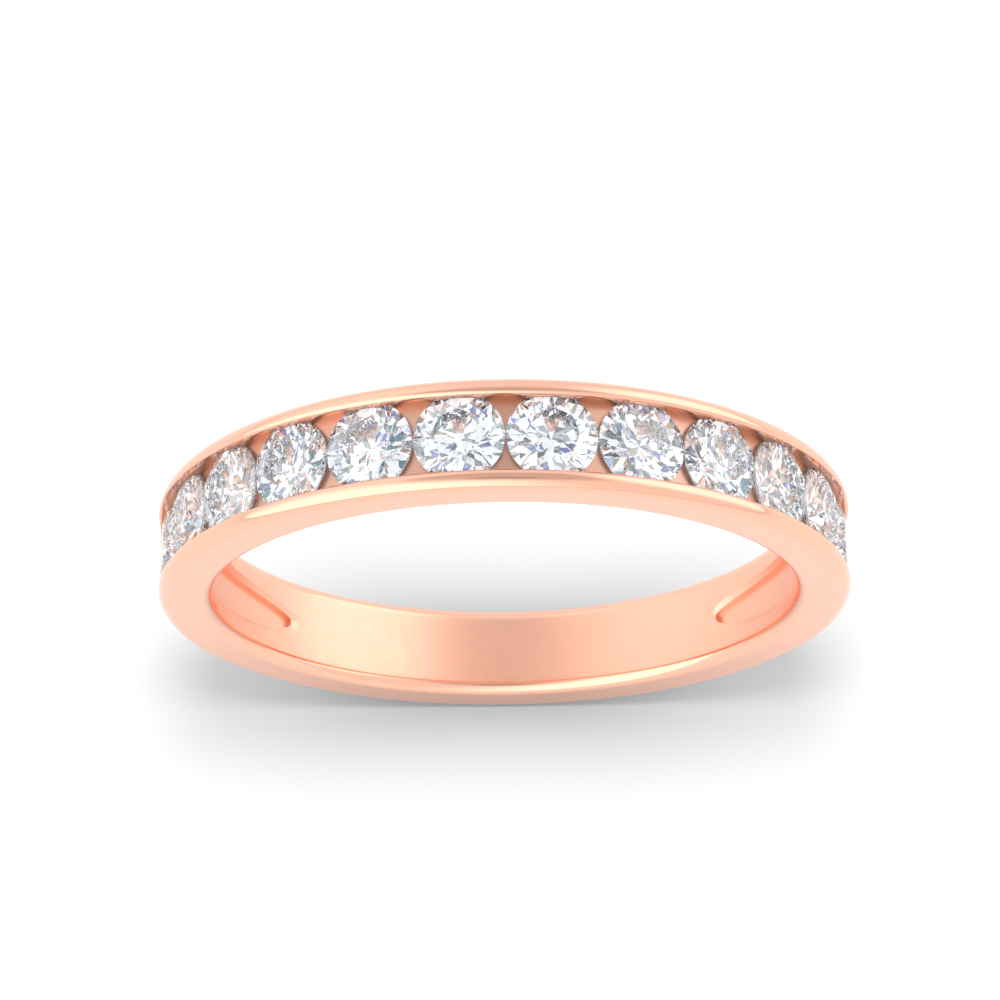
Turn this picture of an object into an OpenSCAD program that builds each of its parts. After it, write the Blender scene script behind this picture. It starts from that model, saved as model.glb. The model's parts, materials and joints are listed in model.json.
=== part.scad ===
// Channel-set half-eternity wedding band, in millimetres.
// The finger hole runs along Y, the row of stones is on top (+Z), and the origin is the hole's centre.

/* [Finger] */
// Inside diameter of the ring, which is its finger size
finger_d = 17.35; // [16.5:0.05:19]

/* [Band] */
// Thickness of the band from the finger hole to the outer surface
wall = 1.6; // [1.6:0.01:1.9]
// Width of the band at the top, across the stones
top_width = 3.35; // [3.3:0.01:3.6]
// Width of the band at the bottom of the shank
base_width = 2.71; // [2.5:0.01:3.2]
// Radius of the rounded edge between the outer surface and a side face
outer_round = 0.38; // [0.2:0.01:0.4]
// Radius of the comfort edge between a side face and the finger hole
inner_round = 0.36; // [0.15:0.01:0.4]

/* [Stones] */
// Number of stones in the row
stone_count = 12; // [6:2:14]
// Girdle diameter of each round stone
stone_d = 2.63; // [2.5:0.01:2.66]
// Gap between the girdles of two neighbours
stone_gap = 0.02; // [0.01:0.01:0.06]
// Depth of the tables below the outer surface of the band
table_sink = 0.09; // [0.05:0.01:0.12]
// Table width as a share of the stone's diameter
table_ratio = 0.57; // [0.53:0.01:0.6]
// Crown height as a share of the stone's diameter
crown_ratio = 0.125; // [0.11:0.005:0.135]
// Girdle thickness as a share of the stone's diameter
girdle_ratio = 0.02; // [0.015:0.005:0.025]
// Pavilion depth as a share of the stone's diameter
pavilion_ratio = 0.42; // [0.38:0.005:0.425]

/* [Channel] */
// Clear width between the two rails of the channel
channel_width = 2.24; // [2.1:0.01:2.3]
// Radius of the rounded edge on the inside of each rail
rail_round = 0.16; // [0.08:0.01:0.18]
// Depth of the channel's floor below the stones' girdles
floor_drop = 0.08; // [0.05:0.01:0.3]
// Clearance between a stone and its seat
seat_gap = 0.015; // [0.01:0.005:0.02]
// Diameter of the light hole under each stone
light_hole_d = 0.8; // [0.5:0.05:1]

/* [Pocket] */
// Depth of the hollow inside the band, behind the stones
pocket_depth = 0.25; // [0.15:0.01:0.3]
// Width of the hollow along its straight stretch
pocket_width = 1.2; // [0.8:0.05:1.3]
// Angle from the top at which the hollow ends on each side, in degrees
pocket_end = 131.75; // [125:0.25:132]

/* [Hidden] */

ROSE_GOLD = [0.96, 0.72, 0.6];
DIAMOND = [0.88, 0.92, 0.97];
$fn = 96;

inner_r = finger_d / 2;
outer_r = inner_r + wall;

// Each side face is a plane that leans, so that the shank tapers towards the bottom.
side_mid = (top_width + base_width) / 4;
side_lean = atan((top_width - base_width) / 4 / outer_r);

// Heights in a stone's own frame, which has its origin at the middle of the girdle.
stone_r = stone_d / 2;
girdle_half = girdle_ratio * stone_d / 2;
table_z = girdle_half + crown_ratio * stone_d;
culet_z = -girdle_half - pavilion_ratio * stone_d;

girdle_r = outer_r - table_sink - table_z;
pitch = 2 * atan((stone_d + stone_gap) / 2 / girdle_r);
row_half = stone_count * pitch / 2;

channel_half = channel_width / 2;
channel_floor = girdle_r - floor_drop;
channel_end = row_half + 1;

// The hollow is straight up to this angle, and then narrows along half an ellipse that its end cuts short.
pocket_straight = 105;
pocket_taper = 27;
pocket_mid = (pocket_straight + pocket_end) / 2;
pocket_steps = 10;
pocket_half = pocket_width / 2;
// The lands on the two sides of the hollow are eased by this much. A real ring has no such step:
// it only keeps each land a face of its own.
land_ease = 0.002;

// An arc on an edge is drawn as this many straight steps.
round_steps = 6;
// Tools overshoot the metal by this much.
over = 1;

function two_digits(i) = i < 10 ? str("0", i) : str(i);
function stone_name(i) = str("diamond_", two_digits(i));
function stone_angle(i) = (i - (stone_count + 1) / 2) * pitch;

// Points of a quarter round with its centre at c, from angle a to angle b. The last step is drawn
// on past its end, so that it cuts cleanly through the surface that it meets.
function quarter(c, r, a, b) = [
    for (k = [0 : round_steps]) c + r * [cos(a + (b - a) * k / round_steps), sin(a + (b - a) * k / round_steps)]
];
function run_on(points) = let (n = len(points)) concat(points, [2 * points[n - 1] - points[n - 2]]);
function reversed(points) = [for (i = [len(points) - 1 : -1 : 0]) points[i]];

// Turns what is drawn about Z so that it goes round the finger hole.
module around_finger() {
    rotate([90, 0, 0]) children();
}

// Sweeps a profile of radius and width about the finger hole, to this angle on each side of the top.
module top_sweep(half_angle) {
    around_finger()
        rotate([0, 0, 90 - half_angle])
            rotate_extrude(angle = 2 * half_angle) children();
}

// Puts a stone's own frame at its place in the row.
module at_stone(i) {
    rotate([0, stone_angle(i), 0])
        translate([0, 0, girdle_r]) children();
}

// What lies outside one side face, with its rounded outer edge and its comfort edge.
// It is turned about the side face's own normal, so side is 1 for +Y and -1 for -Y.
module beyond_side(side) {
    outer_arc = run_on(quarter([outer_r - outer_round, -outer_round], outer_round, 90, 0));
    inner_arc = run_on(quarter([inner_r + inner_round, -inner_round], inner_round, 90, 180));
    outer_end = outer_arc[len(outer_arc) - 1];
    inner_end = inner_arc[len(inner_arc) - 1];
    translate([0, side * side_mid, 0])
        rotate([-side * (side_lean + 90), 0, 0])
            rotate_extrude()
                polygon(concat(
                    [[0, over], [0, inner_end[1]]],
                    reversed(inner_arc),
                    outer_arc,
                    [[outer_r + over, outer_end[1]], [outer_r + over, over]]
                ));
}

// The groove between the rails, with rounded upper edges.
module channel_cut() {
    edge = run_on(quarter([outer_r - rail_round, channel_half + rail_round], rail_round, -90, 0));
    mirrored = [for (p = edge) [p[0], -p[1]]];
    top_sweep(channel_end)
        polygon(concat(
            [[channel_floor, channel_half]],
            edge,
            [[outer_r + over, edge[len(edge) - 1][1]], [outer_r + over, -edge[len(edge) - 1][1]]],
            reversed(mirrored),
            [[channel_floor, -channel_half]]
        ));
}

// The turned seat that one stone drops into, and the light hole below it.
module seat_cut() {
    table_r = stone_r * table_ratio;
    rotate_extrude()
        polygon([
            [0, culet_z - over],
            [light_hole_d / 2, culet_z - over],
            [light_hole_d / 2, culet_z * (1 - light_hole_d / stone_d) - seat_gap],
            [stone_r + seat_gap, -girdle_half - seat_gap],
            [stone_r + seat_gap, girdle_half + seat_gap],
            [table_r + seat_gap, table_z + seat_gap],
            [0, table_z + seat_gap]
        ]);
}

// Half the hollow's width at an angle t from the top.
function pocket_half_at(t) = pocket_half * sqrt(1 - pow(max(0, t - pocket_straight) / pocket_taper, 2));

// Outline of one end of the hollow, seen along the radius at its middle.
function pocket_outline() = let (
    first = pocket_straight - 1,
    edge = [
        for (k = [0 : pocket_steps])
            let (t = first + (pocket_end - first) * k / pocket_steps)
            [inner_r * sin(t - pocket_mid), pocket_half_at(t)]
    ]
) concat(edge, reversed([for (p = edge) [p[0], -p[1]]]));

// Places one end of the hollow: side is 1 for +X and -1 for -X. Its Z is the radius at its middle.
module at_pocket_end(side) {
    mirror([side < 0 ? 1 : 0, 0, 0])
        rotate([0, pocket_mid, 0]) children();
}

// The hollow behind the stones: a straight stretch and two narrowing ends. The straight stretch is
// swept together with the finger hole, so that the hole's wall there is two lands, one on each side.
module pocket_cut() {
    land_edge = [
        [inner_r - over, top_width],
        [inner_r + land_ease, top_width],
        [inner_r + land_ease, pocket_half],
        [inner_r + pocket_depth, pocket_half]
    ];
    top_sweep(pocket_straight)
        polygon(concat(land_edge, reversed([for (p = land_edge) [p[0], -p[1]]])));
    for (side = [1, -1])
        intersection() {
            around_finger() cylinder(r = inner_r + pocket_depth, h = 4, center = true);
            at_pocket_end(side)
                translate([0, 0, inner_r - over])
                    linear_extrude(2 * over) polygon(pocket_outline());
        }
}

module channel_band() {
    color(ROSE_GOLD)
        difference() {
            around_finger() cylinder(r = outer_r, h = top_width + 1, center = true);
            around_finger() cylinder(r = inner_r, h = top_width + 2, center = true);
            beyond_side(1);
            beyond_side(-1);
            channel_cut();
            pocket_cut();
            for (i = [1 : stone_count]) at_stone(i) seat_cut();
        }
}

// A round brilliant: table, stars, kites, upper and lower girdle facets, mains and a pointed culet.
// Its facets are planes through these rings of points, and a cylinder trims them to a round girdle.
module brilliant() {
    girdle_corner = stone_r / cos(360 / 32);
    table_r = stone_r * table_ratio;
    star_r = stone_r * 0.79;
    lower_r = stone_r * 0.24;
    star_z = girdle_half + crown_ratio * stone_d
        * (girdle_corner - star_r * cos(22.5)) / (girdle_corner - table_r);
    lower_z = -girdle_half - pavilion_ratio * stone_d * (1 - lower_r * cos(22.5) / girdle_corner);
    points = concat(
        ring(8, 0, table_r, table_z),
        ring(8, 22.5, star_r, star_z),
        ring(16, 0, girdle_corner, girdle_half),
        ring(16, 0, girdle_corner, -girdle_half),
        ring(8, 22.5, lower_r, lower_z),
        [[0, 0, culet_z]]
    );
    intersection() {
        hull() polyhedron(points = points, faces = [[for (i = [0 : len(points) - 1]) i]]);
        cylinder(r = stone_r, h = 2 * stone_d, center = true);
    }
}

function ring(n, start, r, z) = [for (k = [0 : n - 1]) let (a = start + 360 * k / n) [r * cos(a), r * sin(a), z]];

module diamond(i) {
    color(DIAMOND)
        at_stone(i) brilliant();
}

channel_band();
for (i = [1 : stone_count])
    diamond(i);
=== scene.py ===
"""Looks of a channel-set wedding band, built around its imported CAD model. Every length is in metres."""

import json
import math

import bmesh
import bpy
from mathutils import Matrix, Vector


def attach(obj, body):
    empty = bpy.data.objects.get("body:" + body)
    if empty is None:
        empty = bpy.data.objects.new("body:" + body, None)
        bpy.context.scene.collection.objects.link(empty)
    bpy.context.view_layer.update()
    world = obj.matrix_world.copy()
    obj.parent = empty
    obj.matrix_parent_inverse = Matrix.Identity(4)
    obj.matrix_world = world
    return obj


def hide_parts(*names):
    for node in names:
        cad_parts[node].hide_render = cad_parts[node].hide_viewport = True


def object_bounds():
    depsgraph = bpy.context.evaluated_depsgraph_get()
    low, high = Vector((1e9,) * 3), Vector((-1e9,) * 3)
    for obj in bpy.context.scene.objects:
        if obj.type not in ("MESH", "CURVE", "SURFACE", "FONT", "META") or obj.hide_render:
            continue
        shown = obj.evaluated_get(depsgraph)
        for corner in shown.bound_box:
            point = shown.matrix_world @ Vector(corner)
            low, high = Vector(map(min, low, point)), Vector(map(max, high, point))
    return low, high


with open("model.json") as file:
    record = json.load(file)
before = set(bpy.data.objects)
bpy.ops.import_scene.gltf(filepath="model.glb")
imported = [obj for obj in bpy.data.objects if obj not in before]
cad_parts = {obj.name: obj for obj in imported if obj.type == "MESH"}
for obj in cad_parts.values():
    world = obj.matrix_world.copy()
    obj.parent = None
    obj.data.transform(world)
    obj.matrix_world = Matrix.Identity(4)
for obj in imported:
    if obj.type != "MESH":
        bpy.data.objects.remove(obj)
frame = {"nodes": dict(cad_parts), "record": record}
cad_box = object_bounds()

MM = 0.001

# Drawing the band: the step between its sections, the sides of a seat and the least angle of an edge.
SECTION_STEP = math.radians(0.75)
SEAT_SIDES = 96
SHARP_EDGE = math.radians(20)
MERGE_DISTANCE = 1e-7

# The band, as the CAD model has it. Angles go round the finger hole from the top, towards +X.
MOUNTS = {mount["name"]: mount for mount in frame["record"]["mounts"]}
INNER_R = MOUNTS["finger_bore"]["dims"]["r_mm"] * MM
WALL = 1.6 * MM
OUTER_R = INNER_R + WALL
TOP_WIDTH = 3.35 * MM
BASE_WIDTH = 2.71 * MM
OUTER_ROUND = 0.38 * MM
INNER_ROUND = 0.36 * MM
SIDE_MID = (TOP_WIDTH + BASE_WIDTH) / 4
SIDE_SLOPE = (TOP_WIDTH - BASE_WIDTH) / 4 / OUTER_R

# The row of stones and their channel.
STONES = sorted(name for name in frame["nodes"] if name.startswith("diamond_"))
STONE_D = 2.63 * MM
STONE_GAP = 0.02 * MM
TABLE_D = 0.57 * STONE_D
TABLE_SINK = 0.09 * MM
GIRDLE_HALF = 0.01 * STONE_D
TABLE_Z = GIRDLE_HALF + 0.125 * STONE_D
CULET_Z = -GIRDLE_HALF - 0.42 * STONE_D
GIRDLE_R = OUTER_R - TABLE_SINK - TABLE_Z
PITCH = 2 * math.atan((STONE_D + STONE_GAP) / 2 / GIRDLE_R)
CHANNEL_HALF = 1.12 * MM
CHANNEL_FLOOR = GIRDLE_R - 0.08 * MM
CHANNEL_END = len(STONES) / 2 * PITCH + math.radians(1)
RAIL_ROUND = 0.16 * MM
SEAT_GAP = 0.005 * MM
FACET_ROOM = 0.03 * MM
LIGHT_HOLE_D = 0.8 * MM

# The hollow behind the stones, with the bevel around its rim.
POCKET_DEPTH = 0.25 * MM
POCKET_HALF = 0.6 * MM
POCKET_STRAIGHT = math.radians(105)
POCKET_TAPER = math.radians(27)
POCKET_END = math.radians(131.75)
BEVEL_WIDTH = 0.17 * MM
BEVEL_DEPTH = 0.09 * MM
BEVEL_ANGLE = 0.2 * MM / INNER_R


def half_width(r, angle):
    """Half the band's width at this radius. Each side face is a plane, so the shank tapers evenly."""
    return SIDE_MID + SIDE_SLOPE * r * math.cos(angle)


def spread(a, b, count):
    """count values from just after a up to b."""
    return [a + (b - a) * (k + 1) / count for k in range(count)]


def arc(centre, radius, start, end, count):
    """Points of an arc in (radius, width), from just after start up to end, in degrees."""
    angles = [math.radians(a) for a in spread(start, end, count)]
    return [(centre[0] + radius * math.cos(a), centre[1] + radius * math.sin(a)) for a in angles]


def outside_points(angle, is_open):
    """(radius, width) from the middle of the outer surface to the top of a side face."""
    room = half_width(OUTER_R, angle) - CHANNEL_HALF
    rail_round = min(RAIL_ROUND, max(0.02 * MM, room - OUTER_ROUND - 0.01 * MM))
    outer_round = min(OUTER_ROUND, room - rail_round - 0.005 * MM) if is_open else OUTER_ROUND
    crest = CHANNEL_HALF + rail_round
    centre = (OUTER_R - outer_round, half_width(OUTER_R - outer_round, angle) - outer_round)
    points = [(CHANNEL_FLOOR, y) for y in [0.0] + spread(0, CHANNEL_HALF, 6)]
    points += [(r, CHANNEL_HALF) for r in spread(CHANNEL_FLOOR, OUTER_R - rail_round, 4)]
    points += arc((OUTER_R - rail_round, crest), rail_round, -90, 0, 10)
    if not is_open:
        crest = min(crest, centre[1] - 0.02 * MM)
        points = [(OUTER_R, crest * k / (len(points) - 1)) for k in range(len(points))]
    points += [(OUTER_R, y) for y in spread(crest, centre[1], 3)]
    points += arc(centre, outer_round, 0, 90, 16)
    return points


def side_points(angle):
    """(radius, width) down a side face and round its comfort edge to the finger hole."""
    top = OUTER_R - OUTER_ROUND
    centre = (INNER_R + INNER_ROUND, half_width(INNER_R + INNER_ROUND, angle) - INNER_ROUND)
    points = [(r, half_width(r, angle)) for r in spread(top, centre[0], 5)]
    return points + arc(centre, INNER_ROUND, 90, 180, 14)


def pocket_half(angle):
    """Half the hollow's width: straight, then narrowing along half an ellipse."""
    past = max(0.0, abs(angle) - POCKET_STRAIGHT) / POCKET_TAPER
    return POCKET_HALF * math.sqrt(max(0.0, 1 - past**2))


def inside_points(angle, depth):
    """(radius, width) from the comfort edge to the middle of the finger hole's wall. depth is
    "plain" past the hollow, "bevel" at its end's rim and "full" in the hollow."""
    start = half_width(INNER_R + INNER_ROUND, angle) - INNER_ROUND
    half = pocket_half(min(abs(angle), POCKET_END))
    rim = {"plain": 0.0, "bevel": BEVEL_DEPTH, "full": BEVEL_DEPTH}[depth]
    floor = {"plain": 0.0, "bevel": BEVEL_DEPTH, "full": POCKET_DEPTH}[depth]
    points = [(INNER_R, y) for y in spread(start, half + BEVEL_WIDTH, 4)]
    points += [(INNER_R + rim * k / 2, half + BEVEL_WIDTH * (1 - k / 2)) for k in (1, 2)]
    points += [(r, half) for r in spread(INNER_R + rim, INNER_R + floor, 3)]
    return points + [(INNER_R + floor, y) for y in spread(half, 0, 5)]


def section(angle, is_open, depth):
    """A closed loop of points round the band's section at this angle, in the row frame."""
    half = outside_points(angle, is_open) + side_points(angle) + inside_points(angle, depth)
    loop = half + [(r, -y) for r, y in reversed(half[1:-1])]
    return [Vector((r * math.sin(angle), y, r * math.cos(angle))) for r, y in loop]


def stations():
    """(angle, channel open, depth of the hollow) of each section, once round the ring. Where a
    feature ends, two sections stand at one angle and make its end wall."""
    found = []

    def run(start, end, is_open, depth):
        count = max(1, round(abs(end - start) / SECTION_STEP))
        found.extend((start + (end - start) * k / count, is_open, depth) for k in range(count + 1))

    run(0, CHANNEL_END, True, "full")
    run(CHANNEL_END, POCKET_END, False, "full")
    found.append((POCKET_END, False, "bevel"))
    run(POCKET_END + BEVEL_ANGLE, math.pi, False, "plain")
    mirrored = [(-angle, is_open, depth) for angle, is_open, depth in reversed(found[1:-1])]
    return found + mirrored


def sweep_band():
    """The band as one closed mesh, before the stones' seats are cut."""
    mesh = bmesh.new()
    rings = [[mesh.verts.new(p) for p in section(*station)] for station in stations()]
    count = len(rings[0])
    for k, ring in enumerate(rings):
        after = rings[(k + 1) % len(rings)]
        for i in range(count):
            j = (i + 1) % count
            mesh.faces.new((ring[i], ring[j], after[j], after[i]))
    bmesh.ops.remove_doubles(mesh, verts=mesh.verts, dist=MERGE_DISTANCE)
    bmesh.ops.dissolve_degenerate(mesh, edges=mesh.edges, dist=MERGE_DISTANCE)
    bmesh.ops.recalc_face_normals(mesh, faces=mesh.faces)
    return mesh


def as_object(mesh, name):
    data = bpy.data.meshes.new(name)
    mesh.to_mesh(data)
    mesh.free()
    piece = bpy.data.objects.new(name, data)
    bpy.context.scene.collection.objects.link(piece)
    return piece


def stone_place(index):
    """The frame of one stone: its origin is at the middle of the girdle and its Z points out."""
    angle = (index - (len(STONES) - 1) / 2) * PITCH
    return Matrix.Rotation(angle, 4, "Y") @ Matrix.Translation((0, 0, GIRDLE_R))


def seat_cutter(indices, name):
    """Turned cutters for these stones' seats, with a light hole below each."""
    hole_r = LIGHT_HOLE_D / 2
    stone_r = STONE_D / 2
    profile = [
        (hole_r, CULET_Z - 0.6 * MM),
        (hole_r, CULET_Z * (1 - LIGHT_HOLE_D / STONE_D) - FACET_ROOM),
        (stone_r + SEAT_GAP, -GIRDLE_HALF - FACET_ROOM),
        (stone_r + SEAT_GAP, GIRDLE_HALF + FACET_ROOM),
        (TABLE_D / 2 + SEAT_GAP, TABLE_Z + FACET_ROOM),
    ]
    mesh = bmesh.new()
    for index in indices:
        place = stone_place(index)
        rings = []
        for r, z in profile:
            turns = [2 * math.pi * k / SEAT_SIDES for k in range(SEAT_SIDES)]
            points = [Vector((r * math.cos(a), r * math.sin(a), z)) for a in turns]
            rings.append([mesh.verts.new(place @ point) for point in points])
        for low, high in zip(rings, rings[1:]):
            for k in range(SEAT_SIDES):
                n = (k + 1) % SEAT_SIDES
                mesh.faces.new((low[k], low[n], high[n], high[k]))
        mesh.faces.new(list(reversed(rings[0])))
        mesh.faces.new(rings[-1])
    return as_object(mesh, name)


def cut_seats(band):
    """Cuts every other seat in turn, because the seats of two neighbours overlap. The cut is made in
    millimetres, where the solver's own tolerance is small beside the seats' clearance."""
    band.data.transform(Matrix.Scale(1 / MM, 4))
    for turn in (0, 1):
        cutter = seat_cutter(range(turn, len(STONES), 2), f"seat_cutter_{turn}")
        cutter.data.transform(Matrix.Scale(1 / MM, 4))
        cut = band.modifiers.new("seats", "BOOLEAN")
        cut.operation = "DIFFERENCE"
        cut.solver = "EXACT"
        cut.object = cutter
        evaluated = band.evaluated_get(bpy.context.evaluated_depsgraph_get())
        result = bpy.data.meshes.new_from_object(evaluated)
        band.modifiers.clear()
        band.data = result
        bpy.data.objects.remove(cutter)
    band.data.transform(Matrix.Scale(MM, 4))


def close_slits(band):
    """Closes the tiny slits that are left where the channel's ends meet the shank."""
    mesh = bmesh.new()
    mesh.from_mesh(band.data)
    bmesh.ops.holes_fill(mesh, edges=[edge for edge in mesh.edges if edge.is_boundary], sides=0)
    mesh.to_mesh(band.data)
    mesh.free()


def make_band():
    band = as_object(sweep_band(), "rose_gold_band")
    cut_seats(band)
    close_slits(band)
    for face in band.data.polygons:
        face.use_smooth = True
    band.data.set_sharp_from_angle(angle=SHARP_EDGE)
    return band


class Graph:
    """Short calls that add nodes to one node tree."""

    def __init__(self, tree):
        self.nodes, self.links = tree.nodes, tree.links

    def put(self, value, socket):
        if isinstance(value, bpy.types.NodeSocket):
            self.links.new(value, socket)
        else:
            socket.default_value = value

    def math(self, operation, *values):
        node = self.nodes.new("ShaderNodeMath")
        node.operation = operation
        for value, socket in zip(values, node.inputs):
            self.put(value, socket)
        return node.outputs[0]

    def vector(self, operation, *values):
        node = self.nodes.new("ShaderNodeVectorMath")
        node.operation = operation
        for value, socket in zip(values, node.inputs):
            self.put(value, socket)
        return node.outputs["Value" if operation in ("LENGTH", "DOT_PRODUCT") else "Vector"]

    def ramp(self, value, start, end, low, high):
        """low where value is at or before start, high at or past end, and smooth between."""
        node = self.nodes.new("ShaderNodeMapRange")
        node.interpolation_type = "SMOOTHSTEP"
        for item, socket in zip((value, start, end, low, high), node.inputs):
            self.put(item, socket)
        return node.outputs[0]

    def noise(self, vector, scale, detail):
        node = self.nodes.new("ShaderNodeTexNoise")
        self.put(vector, node.inputs["Vector"])
        self.put(scale, node.inputs["Scale"])
        self.put(detail, node.inputs["Detail"])
        return node.outputs["Fac"]

    def mix(self, share, first, second):
        node = self.nodes.new("ShaderNodeMix")
        node.data_type = "RGBA"
        self.put(share, node.inputs["Factor"])
        self.put(first, node.inputs["A"])
        self.put(second, node.inputs["B"])
        return node.outputs["Result"]

    def bump(self, height, distance, normal=None):
        node = self.nodes.new("ShaderNodeBump")
        node.inputs["Distance"].default_value = distance
        self.put(height, node.inputs["Height"])
        if normal:
            self.put(normal, node.inputs["Normal"])
        return node.outputs["Normal"]

    def position(self):
        return self.nodes.new("ShaderNodeTexCoord").outputs["Object"]

    def radius(self, position):
        """Distance from the finger hole's axis."""
        return self.vector("LENGTH", self.vector("MULTIPLY", position, (1, 0, 1)))


def new_material(name):
    material = bpy.data.materials.new(name)
    material.use_nodes = True
    return material, Graph(material.node_tree), material.node_tree.nodes["Principled BSDF"].inputs


def rose_gold():
    """Polished rose gold with the faint waves and hairlines that polishing leaves. The finger hole
    and its hollow have a satin grain. The metal down in the channel is duller, and its colour is
    darkened with painted shade for the recess under and between the stones; that shade's tone is fitted."""
    material, graph, shader = new_material("polished_rose_gold")
    position = graph.position()
    radius = graph.radius(position)
    parts = graph.nodes.new("ShaderNodeSeparateXYZ")
    graph.put(position, parts.inputs[0])
    off_middle = graph.math("ABSOLUTE", parts.outputs["Y"])
    lean = graph.math("MULTIPLY", parts.outputs["Z"], SIDE_SLOPE)
    across = graph.math("SUBTRACT", off_middle, lean)
    edge = SIDE_MID - INNER_ROUND
    in_hole = graph.ramp(radius, INNER_R + 0.29 * MM, INNER_R + 0.33 * MM, 1.0, 0.0)
    in_hole = graph.math("MULTIPLY", in_hole, graph.ramp(across, edge, edge + 0.05 * MM, 1.0, 0.0))
    rail_foot = OUTER_R - RAIL_ROUND
    in_channel = graph.ramp(radius, rail_foot - 0.1 * MM, rail_foot, 1.0, 0.0)
    between = graph.ramp(off_middle, CHANNEL_HALF + 0.01 * MM, CHANNEL_HALF + 0.03 * MM, 1.0, 0.0)
    above_hollow = graph.math("GREATER_THAN", radius, INNER_R + POCKET_DEPTH + 0.1 * MM)
    in_channel = graph.math("MULTIPLY", graph.math("MULTIPLY", in_channel, between), above_hollow)
    satin = graph.math("MAXIMUM", in_hole, in_channel)
    tone = graph.noise(position, 900, 3)
    grain = graph.noise(position, 26000, 2)
    cloud = graph.noise(position, 2500, 4)
    hairline = graph.noise(graph.vector("MULTIPLY", position, (1, 14, 1)), 4200, 5)
    gold = graph.mix(tone, (1.0, 0.565, 0.412, 1), (0.99, 0.545, 0.395, 1))
    # Painted shade: a darker copy of the gold, used in the channel's shaded recess under and between the
    # stones.
    channel_painted_shade = graph.mix(tone, (0.74, 0.425, 0.315, 1), (0.68, 0.385, 0.28, 1))
    graph.put(graph.mix(in_channel, gold, channel_painted_shade), shader["Base Color"])
    shader["Metallic"].default_value = 1.0
    polished = graph.ramp(cloud, 0.3, 0.7, 0.07, 0.11)
    dull = graph.ramp(cloud, 0.3, 0.7, 0.3, 0.36)
    satin_part = graph.math("MULTIPLY", satin, dull)
    polished_part = graph.math("MULTIPLY", graph.math("SUBTRACT", 1.0, satin), polished)
    graph.put(graph.math("ADD", satin_part, polished_part), shader["Roughness"])
    waves = graph.bump(graph.math("ADD", graph.math("MULTIPLY", hairline, 0.15), tone), 0.6e-6)
    fine = graph.bump(graph.math("MULTIPLY", grain, satin), 3e-6, waves)
    graph.put(fine, shader["Normal"])
    return material


def stone_height(graph, position):
    """Height above the girdle in the nearest stone's own frame."""
    parts = graph.nodes.new("ShaderNodeSeparateXYZ")
    graph.put(position, parts.inputs[0])
    turn = graph.math("DIVIDE", graph.math("ARCTAN2", parts.outputs["X"], parts.outputs["Z"]), PITCH)
    off = graph.math("MULTIPLY", graph.math("SUBTRACT", graph.math("FRACT", turn), 0.5), PITCH)
    outward = graph.math("MULTIPLY", graph.radius(position), graph.math("COSINE", off))
    return graph.math("SUBTRACT", outward, GIRDLE_R)


def diamond():
    """Clear diamond with polished facets and a frosted girdle. From inside, the pavilion is a
    mirror, which stands in for the total reflection of a well-cut stone and keeps gold from
    showing through."""
    material, graph, shader = new_material("clear_diamond")
    position = graph.position()
    height = stone_height(graph, position)
    inside = graph.nodes.new("ShaderNodeNewGeometry").outputs["Backfacing"]
    below = graph.math("LESS_THAN", height, -GIRDLE_HALF)
    turned_back = graph.math("MULTIPLY", inside, below)
    girdle = graph.math("LESS_THAN", graph.math("ABSOLUTE", height), 1.02 * GIRDLE_HALF)
    haze = graph.noise(position, 3000, 3)
    graph.put(graph.mix(haze, (1.0, 1.0, 1.0, 1), (0.965, 0.985, 1.0, 1)), shader["Base Color"])
    graph.put(turned_back, shader["Metallic"])
    graph.put(graph.math("MULTIPLY", girdle, 0.4), shader["Roughness"])
    shader["IOR"].default_value = 2.417
    shader["Transmission Weight"].default_value = 1.0
    return material


def direction(azimuth, elevation):
    """Unit vector of a direction, in degrees. Azimuth 0 is the ring's front, and grows to +X."""
    a, e = math.radians(azimuth), math.radians(elevation)
    return math.sin(a) * math.cos(e), -math.cos(a) * math.cos(e), math.sin(e)


# Soft boxes of the studio: azimuth, elevation, full within, gone past (degrees) and added light.
SOFT_BOXES = (
    (112, 22, 18, 45, 0.7),
    (-45, 12, 20, 68, 0.85),
    (-125, 25, 15, 45, 0.2),
)
STUDIO_LIGHT = 1.0
FLOOR_HALF = 0.6
FLOOR_GREY = 0.65
TOP_LIGHT_HEIGHT = 0.3
TOP_LIGHT_D = 0.11
TOP_LIGHT_POWER = 0.62
# The tent is open overhead, and the camera looks in through the front of that opening.
OPENINGS = (
    (0, 88, 22, 40, 0.31),
    (-1.4, 70, 8, 15, 0.22),
)
# What the stones pick up, as share of the studio seen and colour: cards, gaps and sky.
STONE_CARDS = (
    (0.0, (1.1, 1.12, 1.15)),
    (0.32, (0.48, 0.52, 0.57)),
    (0.46, (1.45, 1.45, 1.45)),
    (0.62, (0.15, 0.175, 0.2)),
    (0.76, (0.52, 0.6, 0.92)),
    (0.82, (0.04, 0.05, 0.09)),
    (0.89, (0.09, 0.15, 0.52)),
    (0.93, (0.04, 0.21, 0.22)),
    (0.97, (0.4, 0.4, 0.3)),
)


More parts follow.
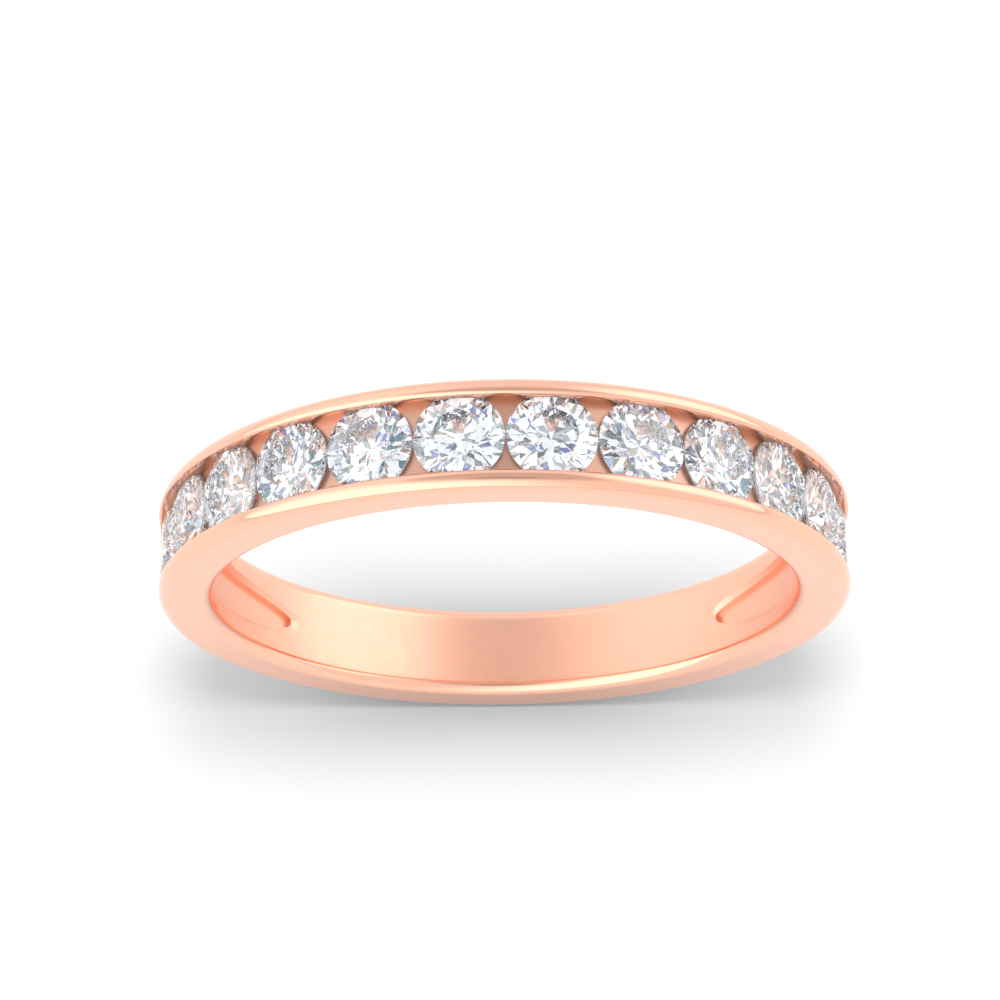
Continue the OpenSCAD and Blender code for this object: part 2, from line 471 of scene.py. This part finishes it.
def make_world():
    """A soft studio: a bright tent with larger soft boxes, and a dark opening for the camera. Light
    that comes out of a stone has met a studio of many small cards."""
    world = bpy.data.worlds.new("studio")
    bpy.context.scene.world = world
    world.use_nodes = True
    graph = Graph(world.node_tree)
    toward = graph.nodes.new("ShaderNodeTexCoord").outputs["Generated"]

    def patch(azimuth, elevation, full, gone, amount):
        facing = graph.vector("DOT_PRODUCT", toward, direction(azimuth, elevation))
        return graph.ramp(facing, math.cos(math.radians(gone)), math.cos(math.radians(full)), 0.0, amount)

    light = STUDIO_LIGHT
    for box in SOFT_BOXES:
        light = graph.math("ADD", light, patch(*box))
    for opening in OPENINGS:
        light = graph.math("MULTIPLY", light, graph.math("SUBTRACT", 1.0, patch(*opening)))
    studio = graph.nodes.new("ShaderNodeCombineColor")
    for socket in studio.inputs:
        graph.put(light, socket)

    cells = graph.nodes.new("ShaderNodeTexVoronoi")
    graph.put(toward, cells.inputs["Vector"])
    cells.inputs["Scale"].default_value = 5.0
    channels = graph.nodes.new("ShaderNodeSeparateColor")
    graph.put(cells.outputs["Color"], channels.inputs[0])
    cards = graph.nodes.new("ShaderNodeValToRGB")
    cards.color_ramp.interpolation = "CONSTANT"
    while len(cards.color_ramp.elements) < len(STONE_CARDS):
        cards.color_ramp.elements.new(0.5)
    for element, (share, colour) in zip(cards.color_ramp.elements, STONE_CARDS):
        element.position = share
        element.color = (*colour, 1)
    graph.put(channels.outputs[0], cards.inputs[0])
    from_stone = graph.nodes.new("ShaderNodeLightPath").outputs["Is Transmission Ray"]
    background = graph.nodes["Background"]
    graph.put(graph.mix(from_stone, studio.outputs[0], cards.outputs["Color"]), background.inputs["Color"])


def make_floor():
    mesh = bmesh.new()
    bmesh.ops.create_grid(mesh, x_segments=1, y_segments=1, size=FLOOR_HALF)
    floor = as_object(mesh, "floor")
    floor.location.z = cad_box[0][2]
    material = bpy.data.materials.new("white_floor")
    material.use_nodes = True
    shader = material.node_tree.nodes["Principled BSDF"]
    shader.inputs["Base Color"].default_value = (FLOOR_GREY, FLOOR_GREY, FLOOR_GREY, 1)
    shader.inputs["Roughness"].default_value = 0.9
    floor.data.materials.append(material)


def make_top_light():
    """A soft box high above the ring, which deepens the shadow under it. Only the floor sees it."""
    data = bpy.data.lights.new("top_light", "AREA")
    data.shape = "DISK"
    data.size = TOP_LIGHT_D
    data.energy = TOP_LIGHT_POWER
    light = bpy.data.objects.new("top_light", data)
    light.location = (0, 0.005, TOP_LIGHT_HEIGHT)
    light.visible_glossy = False
    light.visible_transmission = False
    bpy.context.scene.collection.objects.link(light)


def make_camera():
    """The photograph's view: high above the ring, a long way off with a long lens."""
    distance = 16 * OUTER_R
    aim = Vector((-0.0106, 0.1505, 0.0564)) * OUTER_R
    out = Vector(direction(-1.361, 70.003))
    camera = bpy.data.objects.new("camera", bpy.data.cameras.new("camera"))
    camera.data.lens = 198.6
    camera.data.sensor_width = 36
    camera.data.clip_start = 0.01
    camera.data.clip_end = 10
    camera.location = out * distance
    look = (aim - camera.location).to_track_quat("-Z", "Y")
    roll = Matrix.Rotation(math.radians(0.549), 4, "Z")
    camera.rotation_euler = (look.to_matrix().to_4x4() @ roll).to_euler()
    bpy.context.scene.collection.objects.link(camera)
    bpy.context.scene.camera = camera


band = make_band()
band.data.materials.clear()
band.data.materials.append(rose_gold())
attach(band, "root")
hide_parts("channel_band")

stone_material = diamond()
for name in STONES:
    for slot in frame["nodes"][name].material_slots:
        slot.material = stone_material

make_world()
make_floor()
make_top_light()
make_camera()
bpy.context.scene.view_settings.view_transform = "Standard"
cycles = bpy.context.scene.cycles
cycles.max_bounces = 32
cycles.glossy_bounces = 24
cycles.transmission_bounces = 32
cycles.caustics_reflective = False
cycles.caustics_refractive = False
